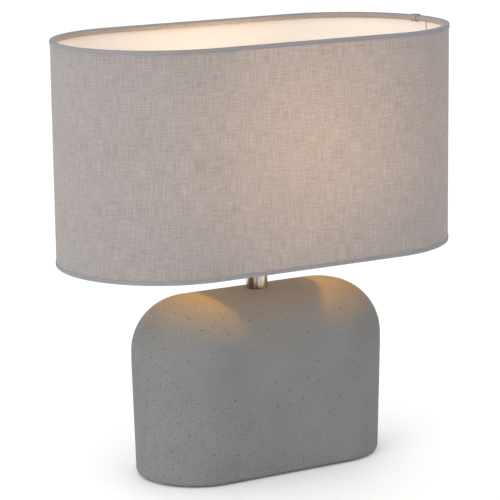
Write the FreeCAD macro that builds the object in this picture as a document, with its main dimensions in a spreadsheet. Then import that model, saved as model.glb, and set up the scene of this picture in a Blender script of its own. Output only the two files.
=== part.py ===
import FreeCAD, Part
import math
import os
import re
import Sketcher

# A table lamp: a cast concrete base, a short metal stem, an E27 lampholder with its bulb, and an
# oval drum shade on a wire carrier.  Millimetres, +Z up, X along the long side of the lamp, Y
# towards its back, and the origin on the floor under the middle of the base.

doc = FreeCAD.newDocument("TableLamp")

# ---------------------------------------------------------------- sizes

SIZES = [
    # concrete base
    ("base_length", 226, "length over the two round ends"),
    ("base_depth", 107, "front to back"),
    ("base_height", 149, "lower rim to crown"),
    ("base_shoulder", 46, "radius that turns the sides into the crown"),
    ("base_wall", 11, "side wall"),
    ("base_crown", 14, "thickness of the crown"),
    ("cavity_round", 22, "radius in the top corner of the cavity"),
    ("foot_round", 3, "radius on the lower rim"),
    ("foot_inset", 2.2, "how far the sides draw in at the foot"),
    ("draft_height", 90, "height of the part that draws in"),
    ("rim_width", 5, "concrete left around the underside recess"),
    ("cut_past", 1, "how far a hole's cut starts or ends past the wall it goes through"),
    # underside
    ("felt_thick", 2, "felt pad"),
    ("foot_gap", 1, "concrete held clear of the floor by the felt"),
    ("plate_thick", 2, "steel base plate"),
    ("plate_play", 0.5, "gap around the plate and the felt"),
    ("boss_across", 45, "base screw, out from the middle along X"),
    ("boss_inset", 4.5, "base screw, in from the cavity wall"),
    ("boss_radius", 7, "concrete boss around an insert"),
    ("boss_height", 18, "boss above the plate"),
    ("insert_radius", 2.9, "threaded brass insert"),
    ("insert_length", 9, "threaded brass insert"),
    ("insert_fit", 0.05, "gap between an insert and its hole"),
    ("insert_relief", 3, "hole past the end of an insert"),
    ("screw_radius", 1.9, "base screw shank"),
    ("screw_length", 11, "base screw, head and shank"),
    ("screw_head", 3.7, "radius of the countersunk head"),
    ("screw_play", 0.1, "gap around a base screw"),
    # cord inlet at the back
    ("inlet_height", 15, "above the floor"),
    ("inlet_bore", 3.25, "radius of the way through the bush"),
    ("bush_wall", 1.65, "bush sleeve"),
    ("bush_flange", 7, "radius of the bush flange"),
    ("bush_lip", 0.5, "snap lip inside the wall"),
    ("flange_thick", 1.5, "bush flange"),
    ("bush_play", 0.1, "gap around the bush"),
    ("lip_gap", 0.2, "between the wall and the snap lip"),
    ("lip_length", 2, "snap lip"),
    # stem and threaded tube
    ("stem_radius", 9, "stem tube"),
    ("stem_wall", 1.2, "stem tube"),
    ("stem_height", 38, "stem tube above the crown"),
    ("stem_seat", 2, "depth of the stem's seat in the crown"),
    ("stem_play", 0.15, "gap around the stem in its seat"),
    ("thread_radius", 5, "threaded tube"),
    ("thread_bore", 3.9, "way for the wires inside the threaded tube"),
    ("thread_play", 0.1, "gap around the threaded tube"),
    ("thread_past_nut", 4, "threaded tube below the lock nut"),
    ("thread_past_cap", 2, "threaded tube above the cap's floor"),
    ("washer_radius", 17, "washer under the crown"),
    ("washer_thick", 2, "washer under the crown"),
    ("nut_corner", 8.6, "lock nut, centre to corner"),
    ("nut_thick", 6, "lock nut"),
    # lampholder
    ("spigot_depth", 3, "cap spigot down into the stem"),
    ("cap_foot", 11, "radius of the cap's lower face"),
    ("cap_radius", 19, "lampholder cap"),
    ("cap_height", 22, "lampholder cap above the stem"),
    ("cap_floor", 7, "top of the cap's floor above the stem"),
    ("cap_wall", 2.2, "lampholder cap"),
    ("dome_step", 2, "how far the cap's dome draws in before its foot"),
    ("dome_low", 5, "lower corner of the dome above the stem"),
    ("dome_top", 11, "upper corner of the dome above the stem"),
    ("dome_inside", 12, "upper corner inside the dome above the stem"),
    ("skirt_depth", 8, "holder shell's skirt inside the cap"),
    ("skirt_wall", 1.8, "holder shell's skirt"),
    ("shelf_thick", 2, "shelf in the shell that carries the contact block"),
    ("shell_radius", 19.7, "threaded outside of the holder shell"),
    ("shell_wall", 2.7, "holder shell above the skirt"),
    ("holder_height", 56, "top of the lampholder above the stem"),
    ("collar_width", 2.8, "collar that the shade carrier sits on"),
    ("collar_height", 34, "lower face of the collar above the stem"),
    ("collar_thick", 2, "collar"),
    ("lip_margin", 0.5, "mouth of the lampholder outside the screw shell"),
    ("lip_thick", 1.5, "lip at the mouth"),
    ("core_height", 30, "top of the contact block above the stem"),
    ("core_play", 0.1, "gap around the contact block"),
    ("core_tail", 2, "contact block below the shell's skirt"),
    ("screw_shell_play", 0.2, "between the bulb's cap and the screw shell"),
    ("screw_shell_wall", 0.4, "E27 screw shell"),
    ("contact_width", 5, "centre contact tongue"),
    ("contact_sheet", 0.5, "thickness of the contact tongue"),
    ("contact_rise", 1.4, "contact tongue above the block"),
    ("contact_length", 7, "contact tongue"),
    ("contact_top", 3, "level end of the contact tongue"),
    ("contact_foot", 1.4, "end of the tongue that is riveted down"),
    ("shell_margin", 1, "screw shell below the lip"),
    ("shell_floor", 8.5, "radius of the hole in the screw shell's floor"),
    ("terminal_across", 8.5, "terminal screw, out from the middle"),
    ("terminal_radius", 1.5, "terminal screw shank"),
    ("terminal_head", 2.8, "terminal screw head"),
    ("terminal_rise", 1.8, "height of a terminal screw head"),
    ("terminal_length", 8, "terminal screw shank"),
    ("terminal_relief", 1, "hole past the end of a terminal screw"),
    # retaining ring and shade carrier
    ("ring_wall", 4.2, "retaining ring"),
    ("ring_height", 10, "retaining ring"),
    ("ring_chamfer", 1, "edges of the retaining ring"),
    ("running_play", 0.1, "gap between the ring and the holder's thread"),
    ("stack_play", 0.05, "gap above and below the carrier washer"),
    ("carrier_play", 0.6, "between the carrier washer and the holder's thread"),
    ("carrier_margin", 4, "carrier washer outside the ring"),
    ("carrier_sheet", 1.5, "carrier washer"),
    ("arm_radius", 1.75, "carrier arm wire"),
    ("arm_spread", 25, "degrees from the short axis of the shade"),
    ("arm_overlap", 3.5, "arm welded under the washer"),
    ("arm_level", 6, "arm past the washer before it bends down"),
    ("arm_bend", 8, "radius of the arm's bends"),
    ("arm_landing", 9, "level end of the arm over the wire ring"),
    # shade
    ("shade_length", 350, "over the fabric"),
    ("shade_depth", 180, "over the fabric"),
    ("shade_height", 184, "over the hems"),
    ("shade_gap", 32, "crown of the base to the shade"),
    ("fabric_thick", 0.5, "fabric cover"),
    ("liner_thick", 0.5, "stiff white liner"),
    ("wire_radius", 1.8, "shade wires"),
    ("wire_play", 0.05, "gap around a shade wire"),
    ("hem_thick", 0.5, "hem tape"),
    ("hem_height", 4, "hem tape on the outside of the shade"),
    ("hem_return", 2.4, "hem tape on the inside of the wire"),
    # bulb
    ("bulb_lift", 0.05, "bulb contact above the contact tongue"),
    ("bulb_length", 106, "contact to crown of the glass"),
    ("bulb_radius", 30, "glass"),
    ("glass_wall", 0.8, "glass"),
    ("neck_step", 1.1, "glass neck outside the screw cap"),
    ("screw_cap_radius", 13.2, "E27 screw cap"),
    ("screw_cap_wall", 1, "E27 screw cap"),
    ("screw_cap_low", 3.5, "lower edge of the cap above the contact"),
    ("screw_cap_top", 28, "upper edge of the cap above the contact"),
    ("collar_low", 25, "where the cap widens to its collar"),
    ("collar_slope", 1, "height over which the cap widens"),
    ("button_radius", 4.8, "centre contact"),
    ("button_height", 1.5, "centre contact"),
    ("button_bevel", 1.5, "edge of the centre contact"),
    ("insulator_margin", 1.2, "black insulator around the contact"),
    ("insulator_top", 6.5, "upper face of the insulator above the contact"),
    ("insulator_play", 0.1, "between the insulator and the screw cap"),
    ("mount_top", 62, "top of the glass mount above the contact"),
    ("mount_rim", 1, "rim of the glass mount"),
    ("mount_flare", 7, "height of the flare"),
    ("mount_waist", 4, "radius above the flare"),
    ("mount_tip", 2.5, "radius at the top"),
    ("mount_play", 0.1, "between the mount and the glass"),
    ("filament_low", 52, "lower spokes above the contact"),
    ("filament_top", 84, "upper spokes above the contact"),
    ("filament_across", 7, "filament out from the middle"),
    ("filament_radius", 1, "filament"),
    ("spoke_radius", 0.5, "wires that carry the filaments"),
    # radii and levels worked out from the above
    ("screw_shell_bore", "=screw_cap_radius + screw_shell_play", "E27 screw shell, inside"),
    ("lip_radius", "=screw_shell_bore + screw_shell_wall + lip_margin", "lampholder's mouth"),
    ("neck_radius", "=screw_cap_radius + neck_step", "glass where it meets the cap"),
    ("collar_radius", "=shell_radius + collar_width", "lampholder's collar"),
    ("ring_bore", "=shell_radius + running_play", "retaining ring, inside"),
    ("ring_radius", "=ring_bore + ring_wall", "retaining ring, outside"),
    ("carrier_bore", "=shell_radius + carrier_play", "carrier washer, inside"),
    ("carrier_radius", "=ring_radius + carrier_margin", "carrier washer, outside"),
    ("base_top", "=foot_gap + base_height", "crown of the base"),
    ("recess_depth", "=felt_thick - foot_gap + plate_thick", "recess in the underside"),
    ("plate_top", "=felt_thick + plate_thick", "top of the base plate"),
    ("rim_inset", "=foot_inset + rim_width", "recess in from the base's outline"),
    ("boss_back", "=base_depth / 2 - base_wall - boss_inset", "base screw along Y"),
    ("cavity_top", "=base_top - base_crown", "top of the cavity"),
    ("nut_level", "=cavity_top - washer_thick - nut_thick", "lower face of the lock nut"),
    ("thread_foot", "=nut_level - thread_past_nut", "lower end of the threaded tube"),
    ("wall_back", "=base_depth / 2 - foot_inset * (1 - inlet_height / draft_height)", "back face"),
    ("bush_seat", "=wall_back - flange_thick", "floor of the bush's seat"),
    ("cavity_back", "=base_depth / 2 - base_wall", "inner face of the back wall"),
    ("stem_top", "=base_top + stem_height", "top of the stem"),
    ("shade_bottom", "=base_top + shade_gap", "lowest point of the shade"),
    ("shade_top", "=shade_bottom + shade_height", "highest point of the shade"),
    ("skirt_radius", "=cap_radius - cap_wall - core_play", "outside of the shell's skirt"),
    ("carrier_level", "=stem_top + collar_height + collar_thick + stack_play", "washer's underside"),
    ("ring_level", "=carrier_level + carrier_sheet + stack_play", "retaining ring's underside"),
    ("wire_inset", "=fabric_thick + liner_thick + wire_play + wire_radius", "wire in from fabric"),
    ("wire_level", "=hem_thick + wire_play + wire_radius", "wire above the shade's edge"),
    ("bulb_seat", "=stem_top + core_height + contact_rise + bulb_lift", "lowest point of the bulb"),
]

sheet = doc.addObject("Spreadsheet::Sheet", "Sizes")
for row, (alias, content, note) in enumerate(SIZES, start=1):
    sheet.set(f"A{row}", alias)
    sheet.set(f"B{row}", str(content))
    sheet.setAlias(f"B{row}", alias)
    sheet.set(f"C{row}", note)
doc.recompute()

SIZE_NAME = re.compile(r"\b[a-z]+(?:_[a-z]+)+\b")
QUARTER = math.pi / 2

# ---------------------------------------------------------------- helpers


def bind(item, prop, formula):
    """Ties a property to the sheet; the formula is written with the sheet's own names."""
    item.setExpression(prop, SIZE_NAME.sub(lambda found: "Sizes." + found.group(), formula))


def new_body(label, level="0"):
    body = doc.addObject("PartDesign::Body", label)
    body.Label = label
    bind(body, "Placement.Base.z", level)
    return body


def new_sketch(body, role="XY_Plane", offset=None):
    """A sketch on one of the body's own origin planes, moved along the plane's normal."""
    sketch = body.newObject("Sketcher::SketchObject", "Sketch")
    plane = next(part for part in body.Origin.OriginFeatures if part.Role == role)
    sketch.AttachmentSupport = [(plane, "")]
    sketch.MapMode = "FlatFace"
    if offset:
        bind(sketch, "AttachmentOffset.Base.z", offset)
    return sketch


def constrain(sketch, formula, *what, first=1.0):
    """A dimension of the sketch, tied to the sheet; first is its value until the sheet is read."""
    index = sketch.addConstraint(Sketcher.Constraint(*what, first))
    bind(sketch, f"Constraints[{index}]", formula)


def pin_point(sketch, edge, end, across, up):
    """Holds a point by its two distances from the sketch's origin."""
    for kind, axis, formula in (("DistanceX", -2, across), ("DistanceY", -1, up)):
        if formula == "0":
            sketch.addConstraint(Sketcher.Constraint("PointOnObject", edge, end, axis))
        else:
            constrain(sketch, formula, kind, -1, 1, edge, end)


def add_outline(sketch, corners):
    """A closed run of straight lines through corners given as pairs of formulas."""
    count = len(corners)
    turn = FreeCAD.Rotation(FreeCAD.Vector(0, 0, 1), 360 / count)
    spots = [FreeCAD.Vector(10, 0, 0)]
    for _ in range(count - 1):
        spots.append(turn.multVec(spots[-1]))
    for i in range(count):
        sketch.addGeometry(Part.LineSegment(spots[i], spots[(i + 1) % count]), False)
    for i in range(count):
        sketch.addConstraint(Sketcher.Constraint("Coincident", i, 2, (i + 1) % count, 1))
    for i, (across, up) in enumerate(corners):
        pin_point(sketch, i, 1, across, up)


def add_oval(sketch, length, depth):
    """A round-ended oval: two straight sides joined by two half circles."""
    first = sketch.GeometryCount
    axis = FreeCAD.Vector(0, 0, 1)
    for middle, start in ((20, -QUARTER), (-20, QUARTER)):
        circle = Part.Circle(FreeCAD.Vector(middle, 0, 0), axis, 10)
        sketch.addGeometry(Part.ArcOfCircle(circle, start, start + 2 * QUARTER), False)
    for side in (10, -10):
        start = FreeCAD.Vector(side * 2, side, 0)
        sketch.addGeometry(Part.LineSegment(start, FreeCAD.Vector(-side * 2, side, 0)), False)
    right, left, upper, lower = range(first, first + 4)
    joins = ((right, 2, upper, 1), (upper, 2, left, 1), (left, 2, lower, 1), (lower, 2, right, 1))
    for join in joins:
        sketch.addConstraint(Sketcher.Constraint("Tangent", *join))
    sketch.addConstraint(Sketcher.Constraint("Horizontal", upper))
    sketch.addConstraint(Sketcher.Constraint("PointOnObject", right, 3, -1))
    sketch.addConstraint(Sketcher.Constraint("Symmetric", left, 3, right, 3, -1, 1))
    constrain(sketch, f"({length}) - ({depth})", "DistanceX", left, 3, right, 3)
    constrain(sketch, f"({depth}) / 2", "Radius", right)


def add_circle(sketch, radius, across="0", up="0", side=1):
    """A circle at the given distances from the origin; side is -1 to mirror it in X."""
    centre = FreeCAD.Vector(10 * side, 10, 0)
    edge = sketch.addGeometry(Part.Circle(centre, FreeCAD.Vector(0, 0, 1), 1), False)
    constrain(sketch, radius, "Radius", edge)
    points = (-1, 1, edge, 3) if side > 0 else (edge, 3, -1, 1)
    if across == "0":
        sketch.addConstraint(Sketcher.Constraint("PointOnObject", edge, 3, -2))
    else:
        constrain(sketch, across, "DistanceX", *points)
    if up == "0":
        sketch.addConstraint(Sketcher.Constraint("PointOnObject", edge, 3, -1))
    else:
        constrain(sketch, up, "DistanceY", -1, 1, edge, 3)


def pad(body, sketch, length, side="One side", reverse=False, taper=None):
    made = body.newObject("PartDesign::Pad", "Pad")
    made.Profile = sketch
    made.SideType = side
    made.Reversed = reverse
    bind(made, "Length", length)
    if taper:
        bind(made, "TaperAngle", taper)
    return grown(made)


def pocket(body, sketch, length, reverse=False):
    made = body.newObject("PartDesign::Pocket", "Pocket")
    made.Profile = sketch
    made.Reversed = reverse
    bind(made, "Length", length)
    return shrunk(made)


def shrunk(feature):
    """Recomputes a subtractive feature and makes sure that it cut something away."""
    before = feature.BaseFeature.Shape.Volume
    doc.recompute()
    if not feature.Shape.Volume < before:
        raise RuntimeError(f"{feature.Label}: cuts nothing")
    return feature


def grown(feature):
    """Recomputes an additive feature and makes sure that it added material."""
    before = feature.BaseFeature.Shape.Volume if feature.BaseFeature else 0
    doc.recompute()
    if not feature.Shape.Volume > before:
        raise RuntimeError(f"{feature.Label}: adds nothing")
    return feature


def level_edges(feature, level, least):
    """Names of the edges that lie flat at this height and are longer than least."""
    names = []
    for i, edge in enumerate(feature.Shape.Edges, start=1):
        box = edge.BoundBox
        flat = abs(box.ZMin - level) < 0.01 and abs(box.ZMax - level) < 0.01
        if flat and edge.Length > least:
            names.append(f"Edge{i}")
    return names


def dress(body, kind, base, edges, size):
    """A fillet or chamfer on the named edges."""
    made = body.newObject(f"PartDesign::{kind}", kind)
    made.Base = (base, edges)
    bind(made, "Radius" if kind == "Fillet" else "Size", size)
    doc.recompute()
    return made


def turned(label, level, corners):
    """A piece turned about the vertical axis; corners are (radius, height) formulas."""
    body = new_body(label, level)
    sketch = new_sketch(body, "XZ_Plane")
    add_outline(sketch, corners)
    made = body.newObject("PartDesign::Revolution", "Revolution")
    made.Profile = sketch
    made.ReferenceAxis = (sketch, ["V_Axis"])
    made.Angle = 360
    grown(made)
    return body


def tube(label, level, bore, radius, height):
    return turned(label, level, [(bore, "0"), (radius, "0"), (radius, height), (bore, height)])


def oval_ring(body, inset, thick, height):
    """Pads an oval ring that follows the shade's outline, inset from the fabric's face."""
    sketch = new_sketch(body)
    for step in (f"({inset})", f"({inset} + {thick})"):
        add_oval(sketch, f"shade_length - 2 * {step}", f"shade_depth - 2 * {step}")
    return pad(body, sketch, height)


def cylinder(name, radius, height, place):
    """A Part cylinder; place gives formulas for x, y and z."""
    made = doc.addObject("Part::Cylinder", name)
    bind(made, "Radius", radius)
    bind(made, "Height", height)
    for axis, formula in zip("xyz", place):
        bind(made, f"Placement.Base.{axis}", formula)
    return made


def group(label, pieces):
    """Like pieces that share one node, still separate solids."""
    made = doc.addObject("Part::Compound", label)
    made.Label = label
    made.Links = pieces
    return made


# ---------------------------------------------------------------- base


def base_shell():
    """Cast concrete: an oval block with deep round shoulders, hollow and open underneath."""
    body = new_body("base_shell", "foot_gap")
    upper = new_sketch(body, offset="draft_height")
    add_oval(upper, "base_length", "base_depth")
    pad(body, upper, "base_height - draft_height")
    lower = new_sketch(body, offset="draft_height")
    add_oval(lower, "base_length", "base_depth")
    draft = pad(body, lower, "draft_height", reverse=True, taper="-atan(foot_inset / draft_height)")
    crown = dress(body, "Fillet", draft, level_edges(draft, sheet.base_height, 1), "base_shoulder")
    foot = dress(body, "Fillet", crown, level_edges(crown, 0, 1), "foot_round")

    hollow = body.newObject("PartDesign::Boolean", "Hollow")
    hollow.Type = "Cut"
    hollow.setObjects([cavity()])
    shrunk(hollow)

    screw_places(body, "boss_radius", "recess_depth", pad, "boss_height")
    recess = new_sketch(body)
    add_oval(recess, "base_length - 2 * rim_inset", "base_depth - 2 * rim_inset")
    pocket(body, recess, "recess_depth", reverse=True)
    screw_places(body, "insert_radius + insert_fit", "recess_depth", bore_up, "insert_length + insert_relief")

    stem_hole(body, "thread_radius + 3 * thread_play", "base_crown + cut_past")
    stem_hole(body, "stem_radius + stem_play", "stem_seat")
    inlet_hole(body, "inlet_bore + bush_wall + bush_play", "cavity_back - cut_past")
    inlet_hole(body, "bush_flange + bush_play", "bush_seat")
    return body


def cavity():
    """The hollow of the base, with its round roof; it cuts the block in the block's own frame."""
    body = new_body("Cavity")
    sketch = new_sketch(body)
    add_oval(sketch, "base_length - 2 * base_wall", "base_depth - 2 * base_wall")
    block = pad(body, sketch, "base_height - base_crown")
    roof = level_edges(block, sheet.base_height - sheet.base_crown, 1)
    dress(body, "Fillet", block, roof, "cavity_round")
    return body


def bore_up(body, sketch, length):
    return pocket(body, sketch, length, reverse=True)


def screw_places(body, radius, level, feature, length):
    """Pads or bores one round spot at each of the four base screws."""
    for side in (1, -1):
        for row in ("boss_back", "-boss_back"):
            sketch = new_sketch(body, offset=level)
            add_circle(sketch, radius, "boss_across", row, side)
            feature(body, sketch, length)


def stem_hole(body, radius, depth):
    sketch = new_sketch(body, offset="base_height")
    add_circle(sketch, radius)
    pocket(body, sketch, depth)


def inlet_hole(body, radius, start):
    """Bores out through the back wall from a plane at start."""
    sketch = new_sketch(body, "XZ_Plane", f"-({start})")
    add_circle(sketch, radius, up="inlet_height - foot_gap")
    pocket(body, sketch, "base_depth")


def base_plate():
    """Sheet steel plate in the underside recess, with four countersunk holes."""
    body = new_body("base_plate", "felt_thick")
    sketch = new_sketch(body)
    inset = "2 * (rim_inset + plate_play)"
    add_oval(sketch, f"base_length - {inset}", f"base_depth - {inset}")
    pad(body, sketch, "plate_thick")
    for side in (1, -1):
        for row in ("boss_back", "-boss_back"):
            spot = new_sketch(body)
            add_circle(spot, "screw_radius + 2 * screw_play", "boss_across", row, side)
            hole = pocket(body, spot, "plate_thick", reverse=True)
    rims = []
    for i, edge in enumerate(hole.Shape.Edges, start=1):
        round_edge = isinstance(edge.Curve, Part.Circle) and edge.Closed
        if round_edge and edge.CenterOfMass.z < sheet.plate_thick / 2:
            rims.append(f"Edge{i}")
    dress(body, "Chamfer", hole, rims, "screw_head - screw_radius - screw_play")


def felt_pad():
    body = new_body("felt_pad")
    sketch = new_sketch(body)
    inset = "2 * (rim_inset + 2 * plate_play)"
    add_oval(sketch, f"base_length - {inset}", f"base_depth - {inset}")
    pad(body, sketch, "felt_thick")


def screw_spots():
    for side in ("", "-"):
        for row in ("boss_back", "-boss_back"):
            yield f"{side}boss_across", row


def base_screws():
    """Four countersunk screws up into the inserts."""
    screws = []
    head_depth = "(screw_head - screw_radius)"
    for across, row in screw_spots():
        head = doc.addObject("Part::Cone", "ScrewHead")
        bind(head, "Radius1", "screw_head")
        bind(head, "Radius2", "screw_radius")
        bind(head, "Height", head_depth)
        for axis, formula in zip("xyz", (across, row, "felt_thick")):
            bind(head, f"Placement.Base.{axis}", formula)
        place = (across, row, f"felt_thick + {head_depth}")
        shank = cylinder("ScrewShank", "screw_radius", f"screw_length - {head_depth}", place)
        screw = doc.addObject("Part::Fuse", "Screw")
        screw.Base = head
        screw.Tool = shank
        screws.append(screw)
    group("base_screws", screws)


def screw_inserts():
    """Brass inserts cast into the bosses."""
    inserts = []
    for across, row in screw_spots():
        insert = doc.addObject("Part::Cut", "Insert")
        place = (across, row, "plate_top")
        bore = "screw_radius + screw_play"
        insert.Base = cylinder("InsertBody", "insert_radius", "insert_length", place)
        insert.Tool = cylinder("InsertBore", bore, "insert_length", place)
        inserts.append(insert)
    group("screw_inserts", inserts)


def cord_bush():
    """Rubber bush in the back wall, for the cord; turned upright, then laid along Y."""
    sleeve = "inlet_bore + bush_wall"
    end = "bush_seat - cavity_back + flange_thick"
    corners = [
        ("inlet_bore", "0"), ("bush_flange", "0"), ("bush_flange", "flange_thick"),
        (sleeve, "flange_thick"), (sleeve, f"{end} + lip_gap"),
        (f"{sleeve} + bush_lip", f"{end} + lip_gap"),
        (sleeve, f"{end} + lip_gap + lip_length"), ("inlet_bore", f"{end} + lip_gap + lip_length"),
    ]
    body = turned("cord_bush", "inlet_height", corners)
    body.Placement.Rotation = FreeCAD.Rotation(FreeCAD.Vector(1, 0, 0), 90)
    bind(body, "Placement.Base.y", "bush_seat + flange_thick")


# ---------------------------------------------------------------- stem and lampholder


def stem():
    tube("stem_tube", "base_top - stem_seat", "stem_radius - stem_wall", "stem_radius",
         "stem_height + stem_seat")
    tube("threaded_tube", "thread_foot", "thread_bore", "thread_radius",
         "stem_top + cap_floor + thread_past_cap - thread_foot")
    tube("lock_washer", "cavity_top - washer_thick", "thread_radius + 3 * thread_play",
         "washer_radius", "washer_thick")


def lock_nut():
    """Hexagon nut that pulls the stem, the crown and the washer together."""
    outside = doc.addObject("Part::Prism", "NutOutside")
    outside.Polygon = 6
    bind(outside, "Circumradius", "nut_corner")
    bind(outside, "Height", "nut_thick")
    bind(outside, "Placement.Base.z", "nut_level")
    nut = doc.addObject("Part::Cut", "lock_nut")
    nut.Label = "lock_nut"
    nut.Base = outside
    nut.Tool = cylinder("NutBore", "thread_radius + thread_play", "nut_thick",
                        ("0", "0", "nut_level"))


def holder_cap():
    """Lower half of the lampholder: a domed cup, screwed down on the threaded tube."""
    bore = "thread_radius + thread_play"
    spigot = "stem_radius - stem_wall - thread_play"
    turned("holder_cap", "stem_top - spigot_depth", [
        (bore, "0"), (spigot, "0"), (spigot, "spigot_depth"), ("cap_foot", "spigot_depth"),
        ("cap_radius - dome_step", "spigot_depth + dome_low"),
        ("cap_radius", "spigot_depth + dome_top"),
        ("cap_radius", "spigot_depth + cap_height"),
        ("cap_radius - cap_wall", "spigot_depth + cap_height"),
        ("cap_radius - cap_wall", "spigot_depth + dome_inside"),
        ("cap_radius - 2 * cap_wall", "spigot_depth + cap_floor"),
        (bore, "spigot_depth + cap_floor"),
    ])


def holder_shell():
    """Upper half of the lampholder: skirt in the cap, thread outside, collar for the shade."""
    bore = "shell_radius - shell_wall"
    skirt_bore = "skirt_radius - skirt_wall"
    step = "cap_height + shelf_thick"
    turned("holder_shell", "stem_top", [
        (skirt_bore, "cap_height - skirt_depth"), ("skirt_radius", "cap_height - skirt_depth"),
        ("skirt_radius", "cap_height"), ("shell_radius", "cap_height"),
        ("shell_radius", "collar_height"), ("collar_radius", "collar_height"),
        ("collar_radius", "collar_height + collar_thick"),
        ("shell_radius", "collar_height + collar_thick"), ("shell_radius", "holder_height"),
        ("lip_radius", "holder_height"), ("lip_radius", "holder_height - lip_thick"),
        (bore, "holder_height - lip_thick"), (bore, step), (skirt_bore, step),
    ])


def contact_block():
    """The insulating block in the lampholder that carries the contacts and the terminals."""
    narrow = "skirt_radius - skirt_wall - core_play"
    wide = "shell_radius - shell_wall - core_play"
    step = "cap_height + shelf_thick + core_play / 2"
    low = "cap_height - skirt_depth - core_tail"
    body = turned("contact_block", "stem_top", [
        ("0", low), (narrow, low), (narrow, step), (wide, step), (wide, "core_height"),
        ("0", "core_height"),
    ])
    for side in (1, -1):
        sketch = new_sketch(body, offset=low)
        add_circle(sketch, "terminal_radius + core_play", "terminal_across", side=side)
        pocket(body, sketch, "terminal_length + terminal_relief", reverse=True)


def terminal_screws():
    """Two cheese-head screws under the contact block that clamp the wires."""
    low = "stem_top + cap_height - skirt_depth - core_tail"
    screws = []
    for across in ("terminal_across", "-terminal_across"):
        screw = doc.addObject("Part::Fuse", "TerminalScrew")
        screw.Base = cylinder("TerminalHead", "terminal_head", "terminal_rise",
                              (across, "0", f"{low} - terminal_rise"))
        screw.Tool = cylinder("TerminalShank", "terminal_radius", "terminal_length",
                              (across, "0", low))
        screws.append(screw)
    group("terminal_screws", screws)


def contacts():
    """The brass screw shell and the sprung tongue at its bottom."""
    outer = "screw_shell_bore + screw_shell_wall"
    height = "holder_height - lip_thick - core_height - shell_margin"
    turned("screw_shell", "stem_top + core_height", [
        ("shell_floor", "0"), (outer, "0"), (outer, height), ("screw_shell_bore", height),
        ("screw_shell_bore", "screw_shell_wall"), ("shell_floor", "screw_shell_wall"),
    ])
    body = new_body("centre_contact", "stem_top + core_height")
    body.Placement.Rotation = FreeCAD.Rotation(FreeCAD.Vector(0, 0, 1), 90)
    sketch = new_sketch(body, "XZ_Plane")
    rise = "contact_rise"
    add_outline(sketch, [
        ("0", "0"), ("contact_foot + contact_sheet", "0"),
        ("contact_length - contact_top + contact_sheet", f"{rise} - contact_sheet"),
        ("contact_length", f"{rise} - contact_sheet"), ("contact_length", rise),
        ("contact_length - contact_top", rise), ("contact_foot", "contact_sheet"),
        ("0", "contact_sheet"),
    ])
    pad(body, sketch, "contact_width", side="Symmetric")
    bind(body, "Placement.Base.y", "contact_top / 2 - contact_length")


# ---------------------------------------------------------------- shade carrier


def shade_ring():
    """Screws down on the lampholder and holds the carrier against the collar."""
    turned("shade_ring", "ring_level", [
        ("ring_bore", "0"), ("ring_radius - ring_chamfer", "0"), ("ring_radius", "ring_chamfer"),
        ("ring_radius", "ring_height - ring_chamfer"), ("ring_radius - ring_chamfer", "ring_height"),
        ("ring_bore", "ring_height"),
    ])


def arm_path(body):
    """One arm's centre line: level under the washer, down, and level again over the wire."""
    sketch = new_sketch(body, "XZ_Plane")
    reach = "(shade_depth / 2 - wire_inset) / cos(arm_spread)"
    high = "carrier_level - arm_radius - shade_bottom"
    low = "wire_level + wire_radius + arm_radius"
    corners = (
        ("carrier_radius - arm_overlap", high), ("carrier_radius + arm_level", high),
        (f"{reach} - arm_landing", low), (reach, low),
    )
    for i in range(3):
        start, end = (FreeCAD.Vector(10 * j, 10 * (j % 2), 0) for j in (i, i + 1))
        sketch.addGeometry(Part.LineSegment(start, end), False)
    for i in range(2):
        sketch.addConstraint(Sketcher.Constraint("Coincident", i, 2, i + 1, 1))
    for i, (across, up) in enumerate(corners[:3]):
        pin_point(sketch, i, 1, across, up)
    pin_point(sketch, 2, 2, *corners[3])
    doc.recompute()
    for i in range(2):
        first, second = (sketch.Geometry[j] for j in (i, i + 1))
        near = [first.value(0.9 * first.LastParameter), second.value(0.1 * second.LastParameter)]
        arc = sketch.GeometryCount
        sketch.fillet(i, i + 1, *near, sheet.arm_bend, True, True)
        constrain(sketch, "arm_bend", "Radius", arc)
    return sketch


def shade_carrier():
    """The pressed washer, with four wire arms welded under it."""
    tube("carrier_washer", "carrier_level", "carrier_bore", "carrier_radius", "carrier_sheet")
    arms = []
    for name, turn in (("A", "90 - arm_spread"), ("B", "90 + arm_spread"),
                       ("C", "270 - arm_spread"), ("D", "270 + arm_spread")):
        body = new_body("Arm" + name, "shade_bottom")
        path = arm_path(body)
        section = new_sketch(body, "YZ_Plane", "carrier_radius - arm_overlap")
        add_circle(section, "arm_radius", up="carrier_level - arm_radius - shade_bottom")
        made = body.newObject("PartDesign::AdditivePipe", "Arm")
        made.Profile = section
        made.Spine = path
        made.Transition = "Transformed"
        grown(made)
        body.Placement.Rotation = FreeCAD.Rotation(FreeCAD.Vector(0, 0, 1), 90)
        bind(body, "Placement.Rotation.Angle", turn)
        arms.append(body)
    group("carrier_arms", arms)


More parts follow.
